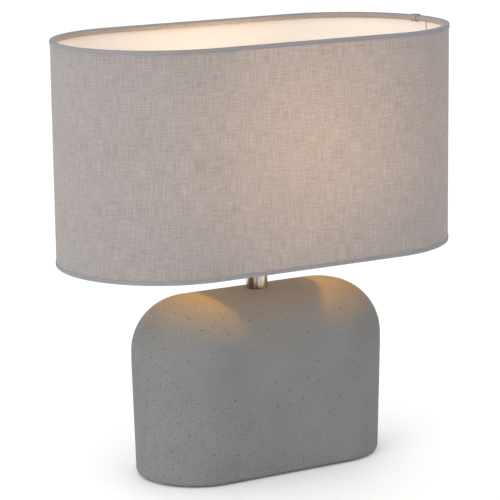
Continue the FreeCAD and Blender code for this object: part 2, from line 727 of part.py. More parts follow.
def shade_wire(label, level):
    """A wire bent to the oval and butt welded: two straights and two half rings."""
    across = "shade_length - 2 * wire_inset"
    along = "shade_depth - 2 * wire_inset"
    pieces = []
    for side in ("", "-"):
        rod = doc.addObject("Part::Cylinder", "WireSide")
        rod.Placement.Rotation = FreeCAD.Rotation(FreeCAD.Vector(0, 1, 0), 90)
        bind(rod, "Radius", "wire_radius")
        bind(rod, "Height", f"{across} - ({along})")
        bind(rod, "Placement.Base.x", f"-({across} - ({along})) / 2")
        bind(rod, "Placement.Base.y", f"{side}({along}) / 2")
        pieces.append(rod)
    for side, turn in (("", -90), ("-", 90)):
        end = doc.addObject("Part::Torus", "WireEnd")
        end.Placement.Rotation = FreeCAD.Rotation(FreeCAD.Vector(0, 0, 1), turn)
        end.Angle3 = 180
        bind(end, "Radius1", f"({along}) / 2")
        bind(end, "Radius2", "wire_radius")
        bind(end, "Placement.Base.x", f"{side}({across} - ({along})) / 2")
        pieces.append(end)
    for piece in pieces:
        bind(piece, "Placement.Base.z", level)
    wire = doc.addObject("Part::MultiFuse", label)
    wire.Label = label
    wire.Shapes = pieces
    wire.Refine = True


# ---------------------------------------------------------------- shade


def shade_skin(label, inset, thick):
    """One layer of the shade's wall, from hem to hem."""
    body = new_body(label, "shade_bottom + hem_thick")
    oval_ring(body, inset, thick, "shade_height - 2 * hem_thick")


def hem(label, level, turn):
    """Tape folded over a wire: outside leg, edge and short inside leg."""
    body = new_body(label, level)
    oval_ring(body, "-hem_thick", "hem_thick", "hem_height")
    edge = "wire_inset + wire_radius + wire_play"
    oval_ring(body, "0", edge, "hem_thick")
    oval_ring(body, edge, "hem_thick", "hem_return")
    body.Placement.Rotation = FreeCAD.Rotation(FreeCAD.Vector(1, 0, 0), turn)


# ---------------------------------------------------------------- bulb


def bulb_glass():
    """Clear glass: a ball on a cone that runs down to the neck."""
    body = new_body("bulb_glass", "bulb_seat")
    sketch = new_sketch(body, "XZ_Plane")
    ball_height = sheet.bulb_length - sheet.bulb_radius
    inner_radius = sheet.bulb_radius - sheet.glass_wall
    inner_neck = sheet.neck_radius - sheet.glass_wall
    centre = FreeCAD.Vector(0, ball_height, 0)
    cone_top = math.radians(-20)
    for radius, foot in ((sheet.bulb_radius, sheet.neck_radius), (inner_radius, inner_neck)):
        ball = Part.Circle(centre, FreeCAD.Vector(0, 0, 1), radius)
        sketch.addGeometry(Part.ArcOfCircle(ball, cone_top, QUARTER), False)
        neck = FreeCAD.Vector(foot, sheet.screw_cap_top, 0)
        sketch.addGeometry(Part.LineSegment(neck, ball.value(cone_top)), False)
    outer, cone, inner, inner_cone = range(4)
    foot_edge = sketch.addGeometry(Part.LineSegment(
        FreeCAD.Vector(inner_neck, sheet.screw_cap_top, 0),
        FreeCAD.Vector(sheet.neck_radius, sheet.screw_cap_top, 0)), False)
    top_edge = sketch.addGeometry(Part.LineSegment(
        FreeCAD.Vector(0, ball_height + inner_radius, 0),
        FreeCAD.Vector(0, sheet.bulb_length, 0)), False)
    for ball, side in ((outer, cone), (inner, inner_cone)):
        sketch.addConstraint(Sketcher.Constraint("Tangent", side, 2, ball, 1))
        sketch.addConstraint(Sketcher.Constraint("PointOnObject", ball, 2, -2))
    sketch.addConstraint(Sketcher.Constraint("PointOnObject", outer, 3, -2))
    sketch.addConstraint(Sketcher.Constraint("Coincident", inner, 3, outer, 3))
    joins = ((foot_edge, 1, inner_cone, 1), (foot_edge, 2, cone, 1),
             (top_edge, 1, inner, 2), (top_edge, 2, outer, 2))
    for join in joins:
        sketch.addConstraint(Sketcher.Constraint("Coincident", *join))
    constrain(sketch, "bulb_radius", "Radius", outer, first=sheet.bulb_radius)
    constrain(sketch, "bulb_radius - glass_wall", "Radius", inner, first=inner_radius)
    constrain(sketch, "bulb_length - bulb_radius", "DistanceY", -1, 1, outer, 3, first=ball_height)
    constrain(sketch, "neck_radius", "DistanceX", -1, 1, cone, 1, first=sheet.neck_radius)
    constrain(sketch, "screw_cap_top", "DistanceY", -1, 1, cone, 1, first=sheet.screw_cap_top)
    constrain(sketch, "neck_radius - glass_wall", "DistanceX", -1, 1, inner_cone, 1, first=inner_neck)
    sketch.addConstraint(Sketcher.Constraint("Horizontal", foot_edge))
    made = body.newObject("PartDesign::Revolution", "Revolution")
    made.Profile = sketch
    made.ReferenceAxis = (sketch, ["V_Axis"])
    made.Angle = 360
    grown(made)


def bulb_base():
    """Contact button, black insulator and brass screw cap."""
    inside = "screw_cap_radius - screw_cap_wall"
    glassed = f"{inside} - insulator_play"
    turned("bulb_contact", "bulb_seat", [
        ("0", "0"), ("button_radius - button_bevel", "0"), ("button_radius", "button_height"),
        ("0", "button_height"),
    ])
    turned("bulb_insulator", "bulb_seat", [
        ("0", "button_height"), ("button_radius + insulator_margin", "button_height"),
        (glassed, "screw_cap_low"), (glassed, "insulator_top"), ("0", "insulator_top"),
    ])
    turned("bulb_cap", "bulb_seat", [
        (inside, "screw_cap_low"), ("screw_cap_radius", "screw_cap_low"),
        ("screw_cap_radius", "collar_low"), ("neck_radius", "collar_low + collar_slope"),
        ("neck_radius", "screw_cap_top"), ("neck_radius - screw_cap_wall", "screw_cap_top"),
        ("neck_radius - screw_cap_wall", "collar_low + collar_slope + screw_cap_wall / 2"),
        (inside, "collar_low + screw_cap_wall / 2"),
    ])


def bulb_inside():
    """Glass mount with a wire frame, and four straight filaments held between its spokes."""
    foot = "screw_cap_top"
    turned("glass_mount", "bulb_seat", [
        ("0", foot), ("neck_radius - glass_wall - mount_play", foot),
        ("neck_radius - glass_wall - mount_play", f"{foot} + mount_rim"),
        ("mount_waist", f"{foot} + mount_flare"), ("mount_tip", "mount_top"), ("0", "mount_top"),
    ])
    rise = "(filament_top - mount_top + spoke_radius)"
    lower = []
    upper = [cylinder("Rod", "spoke_radius", rise, ("0", "0", "bulb_seat + mount_top"))]
    filaments = []
    for spokes, level, start in ((lower, "filament_low", "mount_waist - spoke_radius"),
                                 (upper, "filament_top", "0")):
        for turn in range(4):
            length = f"filament_across + filament_radius - ({start})"
            spoke = cylinder("Spoke", "spoke_radius", length, spoke_place(turn, start, level))
            spoke.Placement.Rotation = FreeCAD.Rotation(90 * turn, 90, 0)
            spokes.append(spoke)
    for turn in range(4):
        place = spoke_place(turn, "filament_across", "filament_low + spoke_radius")
        height = "filament_top - filament_low - 2 * spoke_radius"
        filaments.append(cylinder("Filament", "filament_radius", height, place))
    cross = doc.addObject("Part::MultiFuse", "Cross")
    cross.Shapes = upper
    group("filament_frame", [cross] + lower)
    group("filaments", filaments)


def spoke_place(turn, out, level):
    """A point out from the axis in one of four directions, at a height on the bulb."""
    across = (out, "0", f"-({out})", "0")[turn]
    along = ("0", out, "0", f"-({out})")[turn]
    return across, along, f"bulb_seat + {level}"


# ---------------------------------------------------------------- build and write

base_shell()
base_plate()
felt_pad()
base_screws()
screw_inserts()
cord_bush()
stem()
lock_nut()
holder_cap()
holder_shell()
contact_block()
terminal_screws()
contacts()
shade_ring()
shade_carrier()
shade_wire("lower_wire", "shade_bottom + wire_level")
shade_wire("upper_wire", "shade_top - wire_level")
shade_skin("shade_liner", "fabric_thick", "liner_thick")
shade_skin("shade_fabric", "0", "fabric_thick")
hem("lower_hem", "shade_bottom", 0)
hem("upper_hem", "shade_top", 180)
bulb_glass()
bulb_base()
bulb_inside()
doc.recompute()

NODES = [
    "base_shell", "base_plate", "felt_pad", "base_screws", "screw_inserts", "cord_bush",
    "stem_tube", "threaded_tube", "lock_washer", "lock_nut",
    "holder_cap", "holder_shell", "contact_block", "terminal_screws", "screw_shell",
    "centre_contact", "shade_ring", "carrier_washer", "carrier_arms", "lower_wire", "upper_wire",
    "shade_liner", "shade_fabric", "lower_hem", "upper_hem",
    "bulb_glass", "bulb_cap", "bulb_insulator", "bulb_contact", "glass_mount", "filament_frame",
    "filaments",
]

for item in doc.Objects:
    if "Invalid" in item.State or "Error" in item.State:
        raise RuntimeError(f"{item.Label} did not recompute: {item.State}")

os.makedirs("parts", exist_ok=True)
for name in NODES:
    shape = doc.getObjectsByLabel(name)[0].Shape
    if shape.isNull() or not shape.isValid() or not shape.Solids:
        raise RuntimeError(f"{name} has no valid solid")
    shape.exportStep(f"parts/{name}.step")
    print(f"{name:16} solids {len(shape.Solids)}  volume {shape.Volume:12.1f}")
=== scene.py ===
import math
import random

import bpy
from mathutils import Matrix, Vector, noise


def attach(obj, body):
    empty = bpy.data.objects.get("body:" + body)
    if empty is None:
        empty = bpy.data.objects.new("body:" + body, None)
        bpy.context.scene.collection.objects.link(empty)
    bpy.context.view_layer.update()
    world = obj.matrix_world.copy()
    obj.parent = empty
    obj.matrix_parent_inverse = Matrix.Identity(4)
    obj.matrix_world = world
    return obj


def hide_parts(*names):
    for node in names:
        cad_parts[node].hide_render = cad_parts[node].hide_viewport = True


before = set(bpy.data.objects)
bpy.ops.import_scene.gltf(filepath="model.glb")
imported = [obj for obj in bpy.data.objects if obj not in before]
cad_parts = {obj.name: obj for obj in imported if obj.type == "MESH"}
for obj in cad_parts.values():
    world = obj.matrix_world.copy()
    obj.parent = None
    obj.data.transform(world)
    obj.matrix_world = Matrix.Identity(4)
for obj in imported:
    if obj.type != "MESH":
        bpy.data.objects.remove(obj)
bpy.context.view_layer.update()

MM = 0.001
scene = bpy.context.scene
scene.view_settings.view_transform = "Standard"

# ------------------------------------------------------------ camera, floor and light
# A long lens nearly two metres away and a little above the lamp, off its front left corner.
# The lamp stands on a plain pale floor under even studio light.

SWING, LIFT, ROLL = (math.radians(angle) for angle in (-30.095, 11.971, -0.715))
DISTANCE, AIM_HEIGHT, AIM_RIGHT = 1.92306, 0.18177, -0.005286
FILM_WIDTH, LENS = 36, 165.57
FLOOR_REACH, FLOOR_LEVEL = 14, -0.0002
SKY_BRIGHTNESS = 1.12

behind = Vector((math.sin(SWING) * math.cos(LIFT), -math.cos(SWING) * math.cos(LIFT),
                 math.sin(LIFT)))
right = Vector((math.cos(SWING), math.sin(SWING), 0))
upward = behind.cross(right)
side = math.cos(ROLL) * right + math.sin(ROLL) * upward
top = -math.sin(ROLL) * right + math.cos(ROLL) * upward
aim = Vector((0, 0, AIM_HEIGHT)) + AIM_RIGHT * right
camera = bpy.data.objects.new("camera", bpy.data.cameras.new("camera"))
camera.data.lens = LENS
camera.data.sensor_width = FILM_WIDTH
camera.data.clip_end = 60
camera.matrix_world = Matrix.Translation(aim + DISTANCE * behind) @ Matrix(
    (side, top, behind)).transposed().to_4x4()
scene.collection.objects.link(camera)
scene.camera = camera


def mesh_piece(name, points, faces, materials, sharp=35):
    """A mesh object with smooth faces, kept sharp along edges steeper than the given angle."""
    mesh = bpy.data.meshes.new(name)
    mesh.from_pydata(points, [], faces)
    mesh.validate()
    for material in materials:
        mesh.materials.append(material)
    mesh.shade_smooth()
    mesh.set_sharp_from_angle(angle=math.radians(sharp))
    made = bpy.data.objects.new(name, mesh)
    scene.collection.objects.link(made)
    return made


def finish_of(name, **sockets):
    """A material, its node tree and its shader, with plain values set on the shader's sockets."""
    material = bpy.data.materials.new(name)
    material.use_nodes = True
    shader = material.node_tree.nodes["Principled BSDF"]
    for key, value in sockets.items():
        shader.inputs[key.replace("_", " ")].default_value = value
    return material, material.node_tree, shader


def node(tree, kind, **values):
    """A shader node; a value is a setting, a plain input, or another node's output to link."""
    made = tree.nodes.new("ShaderNode" + kind)
    for key, value in values.items():
        if hasattr(made, key):
            setattr(made, key, value)
            continue
        socket = made.inputs[int(key[1:])] if key[0] == "_" else made.inputs[key.replace("_", " ")]
        if isinstance(value, bpy.types.NodeSocket):
            tree.links.new(value, socket)
        else:
            socket.default_value = value
    return made


floor_paint, _, _ = finish_of("floor paint", Base_Color=(0.97, 0.97, 0.97, 1), Roughness=0.6)
corners = [(-1, -1), (1, -1), (1, 1), (-1, 1)]
floor = mesh_piece("floor", [(x * FLOOR_REACH, y * FLOOR_REACH, FLOOR_LEVEL) for x, y in corners],
                   [(0, 1, 2, 3)], [floor_paint])

sky = bpy.data.worlds.new("studio")
sky.use_nodes = True
sky.node_tree.nodes["Background"].inputs["Color"].default_value = (1, 1, 1, 1)
sky.node_tree.nodes["Background"].inputs["Strength"].default_value = SKY_BRIGHTNESS
scene.world = sky


def softbox(name, place, size, power):
    """A square studio light turned towards the middle of the lamp."""
    lamp = bpy.data.lights.new(name, "AREA")
    lamp.energy, lamp.size = power, size
    made = bpy.data.objects.new(name, lamp)
    made.location = place
    made.rotation_euler = (Vector(place) - Vector((0, 0, 0.2))).to_track_quat("Z", "Y").to_euler()
    scene.collection.objects.link(made)


softbox("left light", (-2, -0.85, 0.62), 1.2, 17)

# ------------------------------------------------------------ concrete base
# One casting in fine grey concrete, an oval block with deep round shoulders, hollow underneath.
# It comes out of its mould with small blowholes in its skin, and is left unsealed.

BASE_HALF, BASE_ROUND = 59.5, 53.5  # half the straight part, and the radius of the ends
BASE_LOW, BASE_HIGH = 1, 150
SHOULDER, FOOT_ROUND, FOOT_INSET = 46, 3, 2.2
DRAFT_TOP = 91  # below it the wall leans in towards the foot
CELL = 2.8  # one blowhole at most in each cell of the wall
BLOWHOLE_SEED, BLOWHOLE_SHARE, BLOWHOLE_LIMIT = 11, 0.17, 0.55
PIT_SIDES = 8
GREY = (0.169, 0.168, 0.165)
RECESS_ROUND, RECESS_TOP = 46.3, 4
HOLLOW_ROUND, HOLLOW_EDGE, HOLLOW_WALL_TOP = 42.5, 22, 114
BOSS, INSERT_HOLE, SCREW_X, SCREW_Y = 7, 2.95, 45, 38
STEM_HOLE, STEM_SEAT = 5.3, 9.15
INLET_HOLE, INLET_SEAT, INLET_HEIGHT = 5, 7.1, 15


def oval_track(half, per_end, per_side):
    """Stations round an oval, as (middle x, normal x, normal y), from the front right leftwards."""
    stations = []
    for middle, start in ((half, -90), (-half, 90)):
        for i in range(per_end):
            angle = math.radians(start + 180 * i / per_end)
            stations.append((middle, math.cos(angle), math.sin(angle)))
        for i in range(per_side):
            stations.append((middle * (1 - 2 * i / per_side), 0, 1 if middle > 0 else -1))
    return stations


def ring(track, radius, height):
    """The oval's points at one radius of its ends and one height."""
    return [((middle + across * radius) * MM, along * radius * MM, height * MM)
            for middle, across, along in track]


def strip(count, lower, upper):
    """Quads between two rings whose points start at lower and upper."""
    return [(lower + i, lower + (i + 1) % count, upper + (i + 1) % count, upper + i)
            for i in range(count)]


def block_mesh(track, rows):
    """A closed block from (radius, height) rows; its ends close on the oval's middle line."""
    points, faces, count = [], [], len(track)
    for radius, height in rows:
        points += ring(track, radius, height)
    for row in range(len(rows) - 1):
        faces += strip(count, row * count, (row + 1) * count)
    for row, flip in ((0, True), (len(rows) - 1, False)):
        spine = {}
        for middle, _, _ in track:
            if round(middle, 4) not in spine:
                spine[round(middle, 4)] = len(points)
                points.append((middle * MM, 0, rows[row][1] * MM))
        for i in range(count):
            j = (i + 1) % count
            a, b = (spine[round(track[k][0], 4)] for k in (i, j))
            face = [row * count + i, row * count + j, b] + ([a] if a != b else [])
            faces.append(face[::-1] if flip else face)
    return points, faces


def base_rows():
    """The side of the base from its rim up to the crown, as (radius, height)."""
    rows = []
    foot_middle = BASE_ROUND - FOOT_INSET - FOOT_ROUND
    for i in range(6):
        angle = math.radians(-90 + 18 * i)
        rows.append((foot_middle + FOOT_ROUND * math.cos(angle),
                     BASE_LOW + FOOT_ROUND + FOOT_ROUND * math.sin(angle)))
    wall_start = BASE_HIGH - SHOULDER
    height = BASE_LOW + FOOT_ROUND
    steps = round((wall_start - height) / CELL)
    for i in range(steps):
        z = height + (wall_start - height) * i / steps
        rows.append((BASE_ROUND - FOOT_INSET * max(0, 1 - z / DRAFT_TOP), z))
    steps = round(SHOULDER * math.pi / 2 / CELL)
    for i in range(steps + 1):
        angle = math.pi / 2 * i / steps
        rows.append((BASE_ROUND - SHOULDER * (1 - math.cos(angle)),
                     wall_start + SHOULDER * math.sin(angle)))
    return rows


def pit(points, faces, shaded_pit_faces, face, size, depth, nudge):
    """Replaces a quad by the same quad with a round hole sunk in it."""
    corners = [Vector(points[i]) for i in face]
    middle = sum(corners, Vector()) / 4
    across = (corners[1] - corners[0]).normalized()
    outward = across.cross(corners[3] - corners[0]).normalized()
    along = outward.cross(across)
    middle += across * nudge[0] + along * nudge[1]
    start = len(points)
    for scale, sink in ((1, 0), (0.86, 0.55), (0.45, 0.95)):
        for k in range(PIT_SIDES):
            angle = math.radians(360 / PIT_SIDES * k - 135)
            rim = math.cos(angle) * across + math.sin(angle) * along
            points.append(middle + rim * size * scale - outward * depth * sink)
    points.append(middle - outward * depth)
    for k in range(4):
        near, nearer = start + 2 * k, start + 2 * k + 1
        next_near = start + (2 * k + 2) % PIT_SIDES
        faces.append((face[k], face[(k + 1) % 4], nearer))
        faces.append((face[k], nearer, near))
        faces.append((face[(k + 1) % 4], next_near, nearer))
    for level in range(2):
        first = start + PIT_SIDES * level
        for k in range(PIT_SIDES):
            a, b = first + k, first + (k + 1) % PIT_SIDES
            shaded_pit_faces.append(len(faces))
            faces.append((a, b, b + PIT_SIDES, a + PIT_SIDES))
    first = start + 2 * PIT_SIDES
    for k in range(PIT_SIDES):
        shaded_pit_faces.append(len(faces))
        faces.append((first + k, first + (k + 1) % PIT_SIDES, first + PIT_SIDES))


def concrete(name, colour, specks):
    """Unsealed concrete: cloudy and sandy, with painted shade for pinholes too small to model."""
    material, tree, shader = finish_of(name, Roughness=0.88, Specular_IOR_Level=0.3)
    place = node(tree, "TexCoord").outputs["Object"]
    clouds = node(tree, "TexNoise", Vector=place, Scale=22, Detail=5, Roughness=0.6)
    sand = node(tree, "TexNoise", Vector=place, Scale=900, Detail=3, Roughness=0.7)
    grains = node(tree, "TexVoronoi", Vector=place, Scale=620, Randomness=1)
    pick = node(tree, "Math", operation="GREATER_THAN", _0=node(
        tree, "SeparateColor", Color=grains.outputs["Color"]).outputs[0], _1=1 - specks)
    hole = node(tree, "MapRange", Value=grains.outputs["Distance"], From_Min=0.12, From_Max=0.36,
                To_Min=1, To_Max=0)
    speck = node(tree, "Math", operation="MULTIPLY", _0=pick.outputs[0], _1=hole.outputs[0])
    swarm = node(tree, "TexNoise", Vector=place, Scale=16, Detail=1)
    lean = node(tree, "VectorMath", operation="DOT_PRODUCT", _0=place, _1=(-4.2, 0, -4.5))
    crowd = node(tree, "Math", operation="MULTIPLY_ADD", _0=swarm.outputs["Fac"], _1=3,
                 _2=lean.outputs["Value"])
    crowd = node(tree, "MapRange", Value=crowd.outputs[0], From_Min=0.9, From_Max=1.7)
    speck = node(tree, "Math", operation="MULTIPLY", _0=speck.outputs[0], _1=crowd.outputs[0])
    cloud_tone = node(tree, "MapRange", Value=clouds.outputs["Fac"], From_Min=0.3, From_Max=0.7,
                      To_Min=0.93, To_Max=1.07)
    sand_tone = node(tree, "MapRange", Value=sand.outputs["Fac"], From_Min=0.25, From_Max=0.75,
                     To_Min=0.84, To_Max=1.16)
    tone = node(tree, "Math", operation="MULTIPLY", _0=cloud_tone.outputs[0],
                _1=sand_tone.outputs[0])
    # Painted shade: the pinholes are drawn darker, as the shade inside holes too small to model.
    shade = node(tree, "Math", operation="MULTIPLY_ADD", _0=speck.outputs[0], _1=-0.62,
                 _2=tone.outputs[0])
    base = node(tree, "VectorMath", operation="SCALE", _0=colour, Scale=shade.outputs[0])
    tree.links.new(base.outputs[0], shader.inputs["Base Color"])
    relief = node(tree, "Math", operation="MULTIPLY_ADD", _0=speck.outputs[0], _1=-1.2,
                  _2=sand.outputs["Fac"])
    bump = node(tree, "Bump", Strength=0.55, Distance=0.00025, Height=relief.outputs[0])
    tree.links.new(bump.outputs[0], shader.inputs["Normal"])
    return material


def settle(target):
    """Makes what the modifiers show the piece's own plain mesh."""
    evaluated = target.evaluated_get(bpy.context.evaluated_depsgraph_get())
    mesh = bpy.data.meshes.new_from_object(evaluated)
    target.modifiers.clear()
    target.data = mesh


def cut(target, cutters):
    """Cuts the closed meshes out of the target, for good, and removes them."""
    for cutter in cutters:
        change = target.modifiers.new("cut", "BOOLEAN")
        change.operation, change.solver, change.object = "DIFFERENCE", "EXACT", cutter
    settle(target)
    for cutter in cutters:
        bpy.data.objects.remove(cutter)


def post(name, radius, start, end, middle=(0, 0), along_y=False, sides=64):
    """A plain round cutter from start to end, upright or along Y."""
    points = []
    for level in (start, end):
        for k in range(sides):
            angle = 2 * math.pi * k / sides
            x, y = radius * math.cos(angle), radius * math.sin(angle)
            spot = (x + middle[0], level, middle[1] - y) if along_y else (
                x + middle[0], y + middle[1], level)
            points.append([value * MM for value in spot])
    faces = strip(sides, 0, sides) + [tuple(range(sides))[::-1], tuple(range(sides, 2 * sides))]
    return mesh_piece(name, points, faces, [])


def concrete_base():
    """The casting: a block with blowholes in its wall, hollowed and drilled from below."""
    track = oval_track(BASE_HALF, round(BASE_ROUND * math.pi / CELL), round(2 * BASE_HALF / CELL))
    points, faces = block_mesh(track, base_rows())
    count, rows = len(track), len(base_rows())
    chance = random.Random(BLOWHOLE_SEED)
    walls, kept, shaded_pit_faces = [], [], []
    for number, face in enumerate(faces):
        row = number // count
        (walls if 7 <= row < rows - 4 and len(face) == 4 else kept).append(face)
    faces = kept
    for face in walls:
        corners = [Vector(points[i]) for i in face]
        middle = sum(corners, Vector()) / 4
        room = min((corners[0] - corners[3]).length, (corners[0] - corners[1]).length) / 2
        crowd = 1.3 * noise.noise(middle * 16) + 0.95 - 4.5 * middle.z - 4.2 * middle.x
        size = min(room * 0.8, MM * min(BLOWHOLE_LIMIT, 0.2 + 0.12 * chance.expovariate(1)))
        if chance.random() > BLOWHOLE_SHARE * max(0.15, crowd):
            faces.append(face)
            continue
        spare = room - size * 1.15
        nudge = [chance.uniform(-spare, spare) * 0.7 for _ in range(2)]
        pit(points, faces, shaded_pit_faces, face, size, size * chance.uniform(0.8, 1.6), nudge)
    # The second finish, far darker, lines the pits: painted shade inside the blowholes.
    skins = [concrete("grey concrete", GREY, 0.24),
             concrete("blowhole", [value * 0.34 for value in GREY], 0.1)]
    made = mesh_piece("concrete_block", points, faces, skins)
    for number in shaded_pit_faces:
        made.data.polygons[number].material_index = 1
    coarse = oval_track(BASE_HALF, 40, 8)
    recess = mesh_piece("recess", *block_mesh(
        coarse, [(RECESS_ROUND, 0), (RECESS_ROUND, RECESS_TOP)]), [])
    vault = [(HOLLOW_ROUND - HOLLOW_EDGE + HOLLOW_EDGE * math.cos(math.radians(angle)),
              HOLLOW_WALL_TOP + HOLLOW_EDGE * math.sin(math.radians(angle)))
             for angle in range(0, 91, 10)]
    hollow = mesh_piece("hollow", *block_mesh(coarse, [(HOLLOW_ROUND, 2)] + vault), [])
    spots = [(x, y) for x in (SCREW_X, -SCREW_X) for y in (SCREW_Y, -SCREW_Y)]
    inlet = (0, INLET_HEIGHT)
    cut(hollow, [post("boss", BOSS, 1, 22, spot) for spot in spots])
    drilled = [post("insert hole", INSERT_HOLE, 3, 16, spot) for spot in spots]
    drilled += [post("stem hole", STEM_HOLE, 130, 151), post("stem seat", STEM_SEAT, 148, 152),
                post("inlet hole", INLET_HOLE, 41, 60, inlet, True),
                post("inlet seat", INLET_SEAT, 50.17, 60, inlet, True)]
    cut(made, [recess, hollow] + drilled)
    made.data.set_sharp_from_angle(angle=math.radians(40))
    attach(made, "lamp")
    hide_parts("base_shell")
    return made


base_block = concrete_base()

# ------------------------------------------------------------ underside
# A sheet steel plate closes the base, held by four countersunk screws in brass inserts.  A die-cut
# pad of grey wool felt is glued over it and carries the lamp.


def dress(name, material):
    """Gives a piece that stays as designed its finished surface."""
    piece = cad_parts[name]
    piece.data.materials.clear()
    piece.data.materials.append(material)
    for slot in piece.material_slots:
        slot.material = material


def metal(name, colour, roughness, stretch, relief=0.00002, wear=0.06, painted_reflections=None):
    """Worked metal: fine marks stretched the way it was drawn, turned or rolled."""
    material, tree, shader = finish_of(name, Metallic=1)
    place = node(tree, "TexCoord").outputs["Object"]
    drawn = node(tree, "VectorMath", operation="MULTIPLY", _0=place, _1=stretch)
    marks = node(tree, "TexNoise", Vector=drawn.outputs[0], Scale=1, Detail=4, Roughness=0.65)
    cloud = node(tree, "TexNoise", Vector=place, Scale=60, Detail=3)
    tone = node(tree, "MapRange", Value=cloud.outputs["Fac"], From_Min=0.3, From_Max=0.7,
                To_Min=1 - wear, To_Max=1 + wear)
    # Painted reflections: bands of lighter and darker tone stretched along the piece.
    if painted_reflections:
        drawn = node(tree, "VectorMath", operation="MULTIPLY", _0=place, _1=painted_reflections)
        band = node(tree, "TexNoise", Vector=drawn.outputs[0], Scale=1, Detail=1)
        band = node(tree, "MapRange", Value=band.outputs["Fac"], From_Min=0.38, From_Max=0.62,
                    To_Min=0.45, To_Max=1.45)
        tone = node(tree, "Math", operation="MULTIPLY", _0=tone.outputs[0], _1=band.outputs[0])
    base = node(tree, "VectorMath", operation="SCALE", _0=colour, Scale=tone.outputs[0])
    tree.links.new(base.outputs[0], shader.inputs["Base Color"])
    matt = node(tree, "MapRange", Value=marks.outputs["Fac"], From_Min=0.3, From_Max=0.7,
                To_Min=roughness * 0.8, To_Max=roughness * 1.2)
    tree.links.new(matt.outputs[0], shader.inputs["Roughness"])
    bump = node(tree, "Bump", Strength=0.5, Distance=relief, Height=marks.outputs["Fac"])
    tree.links.new(bump.outputs[0], shader.inputs["Normal"])
    return material


mill_steel = metal("mill finish steel", (0.5, 0.5, 0.51), 0.42, (900, 60, 60))
zinc = metal("zinc plate", (0.62, 0.63, 0.65), 0.36, (400, 400, 400))
brass = metal("drawn brass", (0.8, 0.6, 0.27), 0.28, (120, 120, 1500))
dress("base_plate", mill_steel)
for name in ("base_screws", "threaded_tube", "lock_washer", "lock_nut"):
    dress(name, zinc)
for name in ("screw_inserts", "terminal_screws", "centre_contact", "screw_shell"):
    dress(name, brass)

FELT_ROUND = 45.3
felt_wool, tree, shader = finish_of(
    "grey wool felt", Roughness=1, Sheen_Weight=0.5, Sheen_Roughness=0.5)
place = node(tree, "TexCoord").outputs["Object"]
fibres = node(tree, "TexNoise", Vector=place, Scale=1400, Detail=5, Roughness=0.8, Distortion=2.5)
tufts = node(tree, "TexNoise", Vector=place, Scale=160, Detail=4, Roughness=0.7)
tone = node(tree, "Math", operation="MULTIPLY_ADD", _0=fibres.outputs["Fac"], _1=1.1,
            _2=tufts.outputs["Fac"])
base = node(tree, "VectorMath", operation="SCALE", _0=(0.06, 0.061, 0.066), Scale=tone.outputs[0])
tree.links.new(base.outputs[0], shader.inputs["Base Color"])
bump = node(tree, "Bump", Strength=0.8, Distance=0.0004, Height=tone.outputs[0])
tree.links.new(bump.outputs[0], shader.inputs["Normal"])

felt_rows = [(44.6, 0), (45, 0.1), (45.25, 0.4), (FELT_ROUND, 1), (45.25, 1.6), (45, 1.9),
             (44.6, 1.98)]
points, faces = block_mesh(oval_track(BASE_HALF, 72, 40), felt_rows)
points = [(x * (1 + 0.0008 * noise.noise(Vector((x, y, 0)) * 60)),
           y * (1 + 0.0015 * noise.noise(Vector((y, x, 4)) * 60)), z) for x, y, z in points]
felt = mesh_piece("foot_felt", points, faces, [felt_wool], 60)
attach(felt, "lamp")
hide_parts("felt_pad")

# ------------------------------------------------------------ cord bush
# A soft rubber bush snapped into the back wall, low down, where a mains cord would go in.  It is
# moulded in one, with a rounded flange outside and a lip inside the wall.


def rounded(corners, radius, steps=3):
    """The same closed outline with its corners rounded off; corners on the axis stay."""
    eased = []
    for i, corner in enumerate(corners):
        if corner[0] == 0 or radius == 0:
            eased.append(corner)
            continue
        here = Vector(corner)
        arms = [Vector(corners[i - 1]) - here, Vector(corners[(i + 1) % len(corners)]) - here]
        near, far = (here + arm.normalized() * min(radius, arm.length * 0.45) for arm in arms)
        for k in range(steps + 1):
            t = k / steps
            spot = near * (1 - t) ** 2 + here * 2 * t * (1 - t) + far * t * t
            eased.append((spot.x, spot.y))
    return eased


def turned(name, outline, materials, steps=96, along_y=None, thread=None, sharp=35):
    """A piece turned on a lathe from a closed outline of (radius, height), anticlockwise.

    thread is (low, high, pitch, depth) of a round thread sunk in the outside."""
    if thread:
        outline = with_rows(outline, thread)
    points, faces, starts = [], [], []
    for radius, height in outline:
        starts.append((len(points), radius > 0))
        for k in range(steps if radius > 0 else 1):
            angle = 2 * math.pi * k / steps
            r = radius - thread_sink(radius, height, angle, outline, thread)
            spot = (r * math.cos(angle), r * math.sin(angle), height)
            if along_y is not None:
                spot = (spot[0], along_y[0] - spot[2], along_y[1] + spot[1])
            points.append([value * MM for value in spot])
    for (a, wide_a), (b, wide_b) in zip(starts, starts[1:] + starts[:1]):
        for k in range(steps):
            j = (k + 1) % steps
            if wide_a and wide_b:
                faces.append((a + k, a + j, b + j, b + k))
            elif wide_a:
                faces.append((a + k, a + j, b))
            elif wide_b:
                faces.append((a, b + j, b + k))
    return mesh_piece(name, points, faces, materials, sharp)


def with_rows(outline, thread):
    """Adds rows to the outside wall, close enough together to carry the thread."""
    low, high, pitch, _ = thread
    outside = max(radius for radius, height in outline if low <= height <= high)
    rows = []
    for i, (radius, height) in enumerate(outline):
        rows.append((radius, height))
        following = outline[(i + 1) % len(outline)]
        if abs(radius - outside) < 0.01 and abs(following[0] - outside) < 0.01:
            count = max(1, round(abs(following[1] - height) / pitch * 9))
            step = (following[1] - height) / count
            rows += [(radius, height + step * k) for k in range(1, count)]
    return rows


def thread_sink(radius, height, angle, outline, thread):
    """How deep the thread lies at one point of the turned piece."""
    if not thread:
        return 0
    low, high, pitch, depth = thread
    outside = max(r for r, h in outline if low <= h <= high)
    if abs(radius - outside) > 0.01 or not low < height < high:
        return 0
    fade = min(1, (height - low) / pitch, (high - height) / pitch)
    return depth * fade * (0.5 - 0.5 * math.cos(2 * math.pi * height / pitch - angle))


